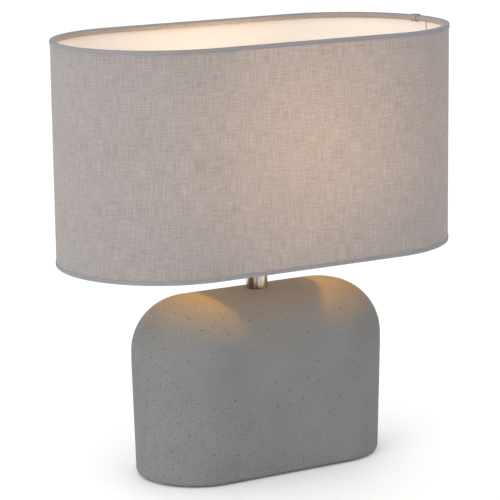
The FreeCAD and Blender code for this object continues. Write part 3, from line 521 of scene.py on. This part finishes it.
def moulded(name, colour, roughness, grain=1800, relief=0.00003, wear=0.04, **sockets):
    """Moulded plastic, rubber or enamel: a fine mould grain and slightly uneven colour."""
    material, tree, shader = finish_of(name, **sockets)
    place = node(tree, "TexCoord").outputs["Object"]
    skin = node(tree, "TexNoise", Vector=place, Scale=grain, Detail=3)
    cloud = node(tree, "TexNoise", Vector=place, Scale=45, Detail=4)
    tone = node(tree, "MapRange", Value=cloud.outputs["Fac"], From_Min=0.3, From_Max=0.7,
                To_Min=1 - wear, To_Max=1 + wear)
    base = node(tree, "VectorMath", operation="SCALE", _0=colour, Scale=tone.outputs[0])
    tree.links.new(base.outputs[0], shader.inputs["Base Color"])
    matt = node(tree, "MapRange", Value=skin.outputs["Fac"], From_Min=0.3, From_Max=0.7,
                To_Min=roughness * 0.85, To_Max=roughness * 1.15)
    tree.links.new(matt.outputs[0], shader.inputs["Roughness"])
    bump = node(tree, "Bump", Strength=0.6, Distance=relief, Height=skin.outputs["Fac"])
    tree.links.new(bump.outputs[0], shader.inputs["Normal"])
    return material


rubber = moulded("black rubber", (0.028, 0.028, 0.029), 0.62)
bush_line = rounded([(3.25, 0), (7, 0), (7, 1.5), (4.9, 1.5), (4.9, 9.37), (5.4, 9.4), (4.9, 11.37),
                     (3.25, 11.37)], 0.5)
BUSH_FACE = 51.67
bush = turned("inlet_bush", bush_line, [rubber], 64, (BUSH_FACE, INLET_HEIGHT))
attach(bush, "lamp")
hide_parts("cord_bush")

# ------------------------------------------------------------ stem
# A short drawn tube in satin nickel, clamped between the crown of the base and the lampholder by
# the threaded tube that runs down its middle.

STEM_ROUND, STEM_BORE, STEM_LOW, STEM_HIGH = 9, 7.8, 148, 188
# Its upright light and dark bands are painted reflections.
nickel = metal("satin nickel", (0.5, 0.43, 0.33), 0.26, (700, 700, 25), 0.00003,
               painted_reflections=(330, 330, 4))
stem_line = rounded([(STEM_BORE, STEM_LOW), (STEM_ROUND, STEM_LOW), (STEM_ROUND, STEM_HIGH),
                     (STEM_BORE, STEM_HIGH)], 0.35)
stem = turned("nickel_stem", stem_line, [nickel], 128)
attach(stem, "lamp")
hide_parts("stem_tube")

# ------------------------------------------------------------ lampholder
# An E27 lampholder moulded in cream heat-proof plastic: a ribbed cap screwed on the threaded tube,
# and a shell with an outside thread whose collar the shade sits on.


def ribbed(target, count, radius, low, height, width, material):
    """Adds upright half-round grip ribs round a turned piece."""
    tree = bpy.data.node_groups.new("grip ribs", "GeometryNodeTree")
    tree.interface.new_socket("Geometry", in_out="INPUT", socket_type="NodeSocketGeometry")
    sizes = {}
    for label, kind in (("Count", "Int"), ("Radius", "Float"), ("Middle", "Float"),
                        ("Height", "Float"), ("Width", "Float")):
        sizes[label] = tree.interface.new_socket(
            label, in_out="INPUT", socket_type="NodeSocket" + kind)
    tree.interface.new_socket("Geometry", in_out="OUTPUT", socket_type="NodeSocketGeometry")
    start, end = tree.nodes.new("NodeGroupInput"), tree.nodes.new("NodeGroupOutput")

    def step(kind, **inputs):
        made = tree.nodes.new(kind)
        for key, value in inputs.items():
            socket = made.inputs[key.replace("_", " ")]
            if isinstance(value, bpy.types.NodeSocket):
                tree.links.new(value, socket)
            else:
                socket.default_value = value
        return made

    half = step("ShaderNodeMath", Value=start.outputs["Width"])
    half.operation = "MULTIPLY"
    half.inputs[1].default_value = 0.5
    rib = step("GeometryNodeMeshCylinder", Vertices=8, Radius=half.outputs[0],
               Depth=start.outputs["Height"])
    circle = step("GeometryNodeMeshCircle", Vertices=start.outputs["Count"],
                  Radius=start.outputs["Radius"])
    lifted = step("ShaderNodeCombineXYZ", Z=start.outputs["Middle"])
    raised = step("GeometryNodeTransform", Geometry=circle.outputs[0],
                  Translation=lifted.outputs[0])
    placed = step("GeometryNodeInstanceOnPoints", Points=raised.outputs[0],
                  Instance=rib.outputs[0])
    real = step("GeometryNodeRealizeInstances", Geometry=placed.outputs[0])
    smooth = step("GeometryNodeSetShadeSmooth", Geometry=real.outputs[0], Shade_Smooth=False)
    join = step("GeometryNodeJoinGeometry")
    tree.links.new(smooth.outputs[0], join.inputs[0])
    tree.links.new(start.outputs["Geometry"], join.inputs[0])
    coat = step("GeometryNodeSetMaterial", Geometry=join.outputs[0], Material=material)
    tree.links.new(coat.outputs[0], end.inputs[0])
    change = target.modifiers.new("ribs", "NODES")
    change.node_group = tree
    values = {"Count": count, "Radius": radius * MM, "Middle": (low + height / 2) * MM,
              "Height": height * MM, "Width": width * MM}
    for label, value in values.items():
        change[sizes[label].identifier] = value
    settle(target)


cream = moulded("cream heat-proof plastic", (0.82, 0.79, 0.72), 0.38, Specular_IOR_Level=0.45)
glaze = moulded("glazed porcelain", (0.86, 0.84, 0.8), 0.14, grain=300, relief=0.00006)
dress("contact_block", glaze)

CAP_ROUND, CAP_RIBS = 18.5, 48
cap_line = rounded([
    (5.1, 185), (7.7, 185), (7.7, 188), (11, 188), (16.6, 193), (CAP_ROUND, 199),
    (CAP_ROUND, 210), (16.8, 210), (16.8, 200), (14.6, 195), (5.1, 195)], 0.6)
cap = turned("holder_base", cap_line, [cream], 96)
ribbed(cap, CAP_RIBS, CAP_ROUND - 0.05, 199.6, 9.2, 0.9, cream)
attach(cap, "lamp")
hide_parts("holder_cap")

SHELL_ROUND, COLLAR = 19.7, 22.5
HOLDER_PITCH, HOLDER_THREAD = 2.5, 0.75
shell_line = [
    (14.9, 202), (16.7, 202), (16.7, 210.1), (SHELL_ROUND, 210.1), (SHELL_ROUND, 222),
    (22.2, 222), (COLLAR, 222.3), (COLLAR, 223.7), (22.2, 224), (SHELL_ROUND, 224),
    (SHELL_ROUND, 243.3), (19, 244), (14.6, 244), (14.1, 243.6), (14.1, 242.5), (17, 242.5),
    (17, 212), (14.9, 212)]
shell = turned("holder_shell_thread", shell_line, [cream], 120,
               thread=(211.5, 243, HOLDER_PITCH, HOLDER_THREAD), sharp=50)
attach(shell, "lamp")
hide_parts("holder_shell")

# ------------------------------------------------------------ retaining ring
# The same cream plastic: it screws down the lampholder's thread and clamps the shade's washer on
# the collar, and has ribs for the fingers.

RING_BORE, RING_ROUND, RING_RIBS = 19.85, 23.4, 36
ring_line = rounded([(RING_BORE, 225.65), (22.9, 225.65), (RING_ROUND, 226.4),
                     (RING_ROUND, 234.8), (22.9, 235.55), (RING_BORE, 235.55)], 0.3)
grip = turned("grip_ring", ring_line, [cream], 96)
ribbed(grip, RING_RIBS, 23.3, 227, 7.2, 1.4, cream)
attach(grip, "retaining_ring")
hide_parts("shade_ring")

# ------------------------------------------------------------ shade carrier
# A pressed washer with four wire arms welded under it.  The arms bend down and are welded to the
# lower wire of the shade, and everything is powder coated white before the shade is covered.

powder = moulded("white powder coat", (0.86, 0.85, 0.82), 0.4, grain=700, relief=0.00008)
for name in ("carrier_washer", "carrier_arms", "lower_wire", "upper_wire"):
    dress(name, powder)

# ------------------------------------------------------------ shade
# Plain woven cotton and linen in a warm grey, laminated on stiff white card, rolled to an oval and
# lapped at one end.  Tapes go round the wires and are glued down as narrow hems.

SHADE_HALF, SHADE_ROUND = 85, 90  # half the straight part, and the radius of the ends
SHADE_LOW, SHADE_HIGH = 182, 366
CLOTH, CARD, CLOTH_GAP = 0.45, 0.4, 0.06
SEAM, LAP = 2.5, 5.5  # where the lap starts on the right-hand end, and its width, in degrees
HEM_JOIN, HEM_LAP, HEM_DOUBLE = 8.5, 4.5, 0.9  # the same for the tape, and how thick it gets
ROUND_STEPS, STRAIGHT_STEPS = 72, 24
BULB_LIGHT = 290  # height of the light inside the bulb
SHINE_NEAR, SHINE_FAR = 0.1, 0.18  # between these distances the even part of the glow painted on the cloth falls off


def shade_stations():
    """Stations round the shade, with extra ones at the laps: (middle, normal, length, angle).

    The length runs along the cloth from the seam; the angle is only given on the seam's end."""
    angles = [-90 + 180 * i / ROUND_STEPS for i in range(ROUND_STEPS)]
    for start, width in ((SEAM, LAP), (HEM_JOIN, HEM_LAP)):
        angles += [start, start + 0.12, start + width, start + width + 0.12]
    stations = []
    for angle in sorted(angles):
        turn = math.radians(angle)
        stations.append((SHADE_HALF, math.cos(turn), math.sin(turn), SHADE_ROUND * turn, angle))
    quarter = SHADE_ROUND * math.pi / 2
    straight = 2 * SHADE_HALF
    for i in range(STRAIGHT_STEPS):
        along = straight * i / STRAIGHT_STEPS
        stations.append((SHADE_HALF - along, 0, 1, quarter + along, None))
    for i in range(ROUND_STEPS):
        turn = math.pi / 2 + math.pi * i / ROUND_STEPS
        stations.append((-SHADE_HALF, math.cos(turn), math.sin(turn),
                         straight + SHADE_ROUND * turn, None))
    for i in range(STRAIGHT_STEPS):
        along = straight * i / STRAIGHT_STEPS
        stations.append((-SHADE_HALF + along, 0, -1, straight + 3 * quarter + along, None))
    return stations


def lapped(angle, start, width):
    """1 where the cloth or the tape lies double."""
    return 1 if angle is not None and start + 0.06 < angle < start + width + 0.06 else 0


def swept(name, stations, outline, materials, lap, thick, sharp=40):
    """Sweeps a closed outline of (radius, height, out, up) round the shade.

    out and up say which way the lap pushes a point; the map runs along the cloth."""
    points, faces, places = [], [], []
    count = len(outline)
    total = 4 * SHADE_HALF + 2 * math.pi * SHADE_ROUND
    for middle, across, along, length, angle in stations:
        double = lapped(angle, *lap) * thick
        for k, (radius, height, out, up) in enumerate(outline):
            wave = 0.06 * noise.noise(Vector((length * 0.02, height * 0.03, k * 0.01)))
            r = radius + out * double + wave
            points.append(((middle + across * r) * MM, along * r * MM, (height + up * double) * MM))
            places.append((length, height))
    tape = [0]
    for a, b in zip(outline, outline[1:] + outline[:1]):
        tape.append(tape[-1] + math.hypot(a[0] - b[0], a[1] - b[1]))
    corners = []
    for i in range(len(stations)):
        j = (i + 1) % len(stations)
        for k in range(count):
            m = (k + 1) % count
            faces.append((i * count + k, j * count + k, j * count + m, i * count + m))
            far = stations[j][3] + (total if j == 0 else 0)
            near = stations[i][3]
            corners += [(near, tape[k]), (far, tape[k]), (far, tape[k + 1]), (near, tape[k + 1])]
    made = mesh_piece(name, points, faces, materials, sharp)
    sheet_map = made.data.uv_layers.new(name="ClothMap")
    for loop, place in zip(sheet_map.data, corners):
        loop.uv = [value * MM for value in place]
    return made


def woven(name, colour, pitch, glow, slub=1.0):
    """Plain weave with uneven yarns; glow sets a painted glow, emission standing in for the bulb's
    light through the cloth.
    """
    material, tree, shader = finish_of(
        name, Roughness=0.9, Sheen_Weight=0.12, Sheen_Roughness=0.5, Specular_IOR_Level=0.2)
    place = node(tree, "UVMap", uv_map="ClothMap").outputs[0]

    def yarns(along, across, detail=3):
        scaled = node(tree, "VectorMath", operation="MULTIPLY", _0=place, _1=(along, across, 1))
        return node(tree, "TexNoise", Vector=scaled.outputs[0], Scale=1, Detail=detail,
                    Roughness=0.6).outputs["Fac"]

    def mixed(first, second, share):
        return node(tree, "Mix", Factor=share, _2=first, _3=second).outputs[0]

    parts = node(tree, "SeparateXYZ", Vector=place)
    waves = []
    for axis in (0, 1):
        phase = node(tree, "Math", operation="MULTIPLY", _0=parts.outputs[axis],
                     _1=math.pi / pitch)
        waves.append(node(tree, "Math", operation="SINE", _0=phase.outputs[0]).outputs[0])
    crossing = node(tree, "Math", operation="MULTIPLY", _0=waves[0], _1=waves[1]).outputs[0]
    round_yarn = [node(tree, "Math", operation="ABSOLUTE", _0=wave).outputs[0] for wave in waves]
    ridge = node(tree, "Math", operation="MULTIPLY", _0=round_yarn[0], _1=round_yarn[1]).outputs[0]
    weave = node(tree, "Math", operation="MULTIPLY_ADD", _0=crossing, _1=0.4, _2=ridge).outputs[0]
    weft = yarns(70, 0.55 / pitch)
    warp = yarns(0.6 / pitch, 60)
    thick = mixed(weft, warp, 0.55)
    grain = yarns(0.75 / pitch, 0.75 / pitch, 1)
    thick = mixed(thick, grain, 0.4)
    patch = yarns(9, 12, 2)
    tone = node(tree, "MapRange", Value=thick, From_Min=0.36, From_Max=0.64,
                To_Min=1 - 0.32 * slub, To_Max=1 + 0.32 * slub).outputs[0]
    cloud = node(tree, "MapRange", Value=patch, From_Min=0.3, From_Max=0.7, To_Min=0.97,
                 To_Max=1.03).outputs[0]
    # Painted shade of the weave's relief: lighter on the yarns, darker in the hollows between them.
    weave_shade = node(tree, "MapRange", Value=weave, From_Min=0, From_Max=1.1, To_Min=0.8,
                To_Max=1.1).outputs[0]
    shade = node(tree, "Math", operation="MULTIPLY", _0=tone, _1=cloud).outputs[0]
    shade = node(tree, "Math", operation="MULTIPLY", _0=shade, _1=weave_shade).outputs[0]
    base = node(tree, "VectorMath", operation="SCALE", _0=colour, Scale=shade)
    tree.links.new(base.outputs[0], shader.inputs["Base Color"])
    height = node(tree, "Math", operation="MULTIPLY_ADD", _0=thick, _1=1.6, _2=weave).outputs[0]
    bump = node(tree, "Bump", Strength=0.6, Distance=0.00022, Height=height)
    tree.links.new(bump.outputs[0], shader.inputs["Normal"])
    if glow:
        # Painted glow, not light through the cloth: emission fading with distance from the bulb and
        # slant.
        spot = node(tree, "TexCoord")
        ray = node(tree, "VectorMath", operation="SUBTRACT", _0=spot.outputs["Object"],
                   _1=(0, 0, BULB_LIGHT * MM))
        away = node(tree, "VectorMath", operation="LENGTH", _0=ray.outputs[0]).outputs["Value"]
        facing = node(tree, "VectorMath", operation="DOT_PRODUCT", _0=ray.outputs[0],
                      _1=spot.outputs["Normal"]).outputs["Value"]
        facing = node(tree, "Math", operation="ABSOLUTE", _0=facing).outputs[0]
        fall = node(tree, "Math", operation="POWER", _0=away, _1=3).outputs[0]
        lit = node(tree, "Math", operation="DIVIDE", _0=facing, _1=fall).outputs[0]
        even = node(tree, "MapRange", interpolation_type="SMOOTHSTEP", Value=away,
                    From_Min=SHINE_NEAR, From_Max=SHINE_FAR, To_Min=0.15, To_Max=0.04).outputs[0]
        lit = node(tree, "Math", operation="MULTIPLY_ADD", _0=lit,
                   _1=glow * SHADE_ROUND ** 2 * MM * MM, _2=even)
        lit = node(tree, "Math", operation="MULTIPLY", _0=lit.outputs[0], _1=shade)
        tree.links.new(lit.outputs[0], shader.inputs["Emission Strength"])
        shader.inputs["Emission Color"].default_value = (1, 0.56, 0.28, 1)
    return material


cloth = woven("grey cotton and linen", (0.262, 0.256, 0.258), 0.00055, 0.15)
stations = shade_stations()
low, high = SHADE_LOW + 0.6, SHADE_HIGH - 0.6
levels = [low + (high - low) * i / 30 for i in range(31)]
outline = [(SHADE_ROUND, z, 1, 0) for z in levels]
outline += [(SHADE_ROUND - CLOTH, z, 0, 0) for z in levels[::-1]]
cover = swept("cloth_cover", stations, outline, [cloth], (SEAM, LAP), CLOTH)
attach(cover, "shade")
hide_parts("shade_fabric")

paper, tree, shader = finish_of("white shade card", Roughness=0.55, Specular_IOR_Level=0.35)
place = node(tree, "TexCoord").outputs["Object"]
pulp = node(tree, "TexNoise", Vector=place, Scale=500, Detail=4, Roughness=0.7)
cloud = node(tree, "TexNoise", Vector=place, Scale=18, Detail=2)
tone = node(tree, "Math", operation="MULTIPLY_ADD", _0=pulp.outputs["Fac"], _1=0.05, _2=0.95)
tone = node(tree, "Math", operation="MULTIPLY_ADD", _0=cloud.outputs["Fac"], _1=0.05,
            _2=tone.outputs[0])
# A darker line along the lap's edge: painted shadow of the lap.
mapped = node(tree, "UVMap", uv_map="ClothMap").outputs[0]
along = node(tree, "SeparateXYZ", Vector=mapped).outputs[0]
edge = node(tree, "Math", operation="SUBTRACT", _0=along, _1=SHADE_ROUND * math.radians(SEAM) * MM)
edge = node(tree, "Math", operation="ABSOLUTE", _0=edge.outputs[0])
edge = node(tree, "MapRange", Value=edge.outputs[0], From_Min=0.0003, From_Max=0.0008, To_Min=0.5)
tone = node(tree, "Math", operation="MULTIPLY", _0=tone.outputs[0], _1=edge.outputs[0])
base = node(tree, "VectorMath", operation="SCALE", _0=(0.8, 0.755, 0.71), Scale=tone.outputs[0])
tree.links.new(base.outputs[0], shader.inputs["Base Color"])
bump = node(tree, "Bump", Strength=0.25, Distance=0.0001, Height=pulp.outputs["Fac"])
tree.links.new(bump.outputs[0], shader.inputs["Normal"])
outer = SHADE_ROUND - CLOTH - CLOTH_GAP
outline = [(outer, z, 0, 0) for z in levels] + [(outer - CARD, z, -1, 0) for z in levels[::-1]]
liner = swept("card_liner", stations, outline, [paper], (SEAM, LAP), CARD)
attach(liner, "shade")
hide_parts("shade_liner")

WIRE_INSET, WIRE_LEVEL = 2.85, 2.35  # the wire's middle, in from the wall and in from the edge
TAPE, HEM_LEG = 0.45, 3.2


def hem_outline():
    """The hem's section as (inset, height, outward direction), and its inner side without one."""
    outside = [(-0.5, HEM_LEG, -1, 0), (-0.5, 1.6, -1, 0), (-0.5, 0.7, -1, 0),
               (-0.36, 0.25, -0.9, -0.4), (-0.05, 0.02, -0.4, -0.9), (0.6, 0, 0, -1)]
    inside = []
    for degrees in range(-90, 121, 15):
        across, up = math.cos(math.radians(degrees)), math.sin(math.radians(degrees))
        for wrap, side, more in ((WIRE_LEVEL, outside, (across, up)),
                                 (WIRE_LEVEL - TAPE, inside, ())):
            side.append((WIRE_INSET + wrap * across, WIRE_LEVEL + wrap * up) + more)
    inside.reverse()
    inside += [(0.6, TAPE), (0.2, TAPE + 0.05), (-0.05, 0.8), (-0.05, 1.6), (-0.05, HEM_LEG - 0.05)]
    return outside, inside


tape_cloth = woven("hem cloth", (0.268, 0.26, 0.27), 0.0005, 0, 0.7)
outside, inside = hem_outline()
edgings = []
for name, node_name, edge, sense in (("lower_edging", "lower_hem", SHADE_LOW, 1),
                                     ("upper_edging", "upper_hem", SHADE_HIGH, -1)):
    outline = [(SHADE_ROUND - inset, edge + sense * height, -out, sense * up)
               for inset, height, out, up in outside]
    outline += [(SHADE_ROUND - inset, edge + sense * height, 0, 0) for inset, height in inside]
    if sense > 0:
        outline = outline[::-1]
    edging = swept(name, stations, outline, [tape_cloth], (HEM_JOIN, HEM_LAP), HEM_DOUBLE, 60)
    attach(edging, "shade")
    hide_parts(node_name)
    edgings.append(edging)

# ------------------------------------------------------------ bulb
# A clear globe bulb with an E27 screw cap: rolled metal cap with its thread, black glass insulator
# and solder contact, and four straight filaments on a wire frame inside.

rolled = metal("rolled bulb cap", (0.74, 0.72, 0.69), 0.25, (120, 120, 1200))
solder = metal("solder", (0.6, 0.6, 0.6), 0.35, (500, 500, 500), 0.0001)
vitrite = moulded("black insulator glass", (0.02, 0.02, 0.024), 0.12)
SCREW_ROUND, SCREW_PITCH, SCREW_THREAD = 13.2, 3.629, 1
cap_line = [(12.2, 222.95), (12.6, 222.95), (SCREW_ROUND, 223.6), (SCREW_ROUND, 244.45),
            (14.3, 245.45), (14.3, 247.45), (13.4, 247.45), (13.4, 246), (12.2, 245)]
screw_cap = turned("bulb_screw_cap", cap_line, [rolled], 120,
                   thread=(223.4, 243.6, SCREW_PITCH, SCREW_THREAD), sharp=50)
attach(screw_cap, "bulb_works")
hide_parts("bulb_cap")
dress("bulb_insulator", vitrite)
dress("bulb_contact", solder)

clear, tree, shader = finish_of("clear bulb glass", Transmission_Weight=1, IOR=1.46)
place = node(tree, "TexCoord").outputs["Object"]
ripple = node(tree, "TexNoise", Vector=place, Scale=60, Detail=2)
film = node(tree, "MapRange", Value=ripple.outputs["Fac"], To_Min=0.005, To_Max=0.03)
tree.links.new(film.outputs[0], shader.inputs["Roughness"])
bump = node(tree, "Bump", Strength=0.15, Distance=0.0003, Height=ripple.outputs["Fac"])
tree.links.new(bump.outputs[0], shader.inputs["Normal"])
dress("bulb_glass", clear)
dress("glass_mount", clear)
dress("filament_frame", rolled)

phosphor, tree, shader = finish_of("lit filament", Roughness=0.5, Base_Color=(0.9, 0.6, 0.2, 1))
place = node(tree, "TexCoord").outputs["Object"]
beads = node(tree, "TexNoise", Vector=place, Scale=900, Detail=2)
heat = node(tree, "MapRange", Value=beads.outputs["Fac"], From_Min=0.3, From_Max=0.7,
            To_Min=5, To_Max=7)
tree.links.new(heat.outputs[0], shader.inputs["Emission Strength"])
shader.inputs["Emission Color"].default_value = (1, 0.62, 0.28, 1)
dress("filaments", phosphor)


def lit_group(name, pieces):
    """A collection of the pieces that a lamp falls on."""
    group = bpy.data.collections.new(name)
    for piece in pieces:
        group.objects.link(piece)
    return group


def bulb_lamp(name, power, colour, size, group, height=BULB_LIGHT):
    """Light from inside the bulb that falls only on one group of pieces."""
    lamp = bpy.data.lights.new(name, "POINT")
    lamp.energy, lamp.color, lamp.shadow_soft_size = power, colour, size * MM
    made = bpy.data.objects.new(name, lamp)
    made.location = (0, 0, height * MM)
    scene.collection.objects.link(made)
    made.light_linking.receiver_collection = group


for name in ("bulb_glass", "glass_mount", "filament_frame", "filaments"):
    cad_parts[name].visible_shadow = False
inside_shade = [liner] + [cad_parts[name] for name in (
    "carrier_washer", "carrier_arms", "lower_wire", "upper_wire")]
BULB_TOP_LIGHT = 312
below = lit_group("base and stem", [base_block, stem])
bulb_lamp("light on the base", 1.75, (1, 0.47, 0.02), 4, below, BULB_TOP_LIGHT)
bulb_lamp("glow on the base", 1, (1, 0.44, 0.02), 70, below)
bulb_lamp("light on the hems", 1, (1, 0.6, 0.29), 6, lit_group("hems", edgings))
bulb_lamp("light in the shade", 0.18, (1, 0.7, 0.4), 6,
          lit_group("inside", inside_shade + [grip, shell, cap]))
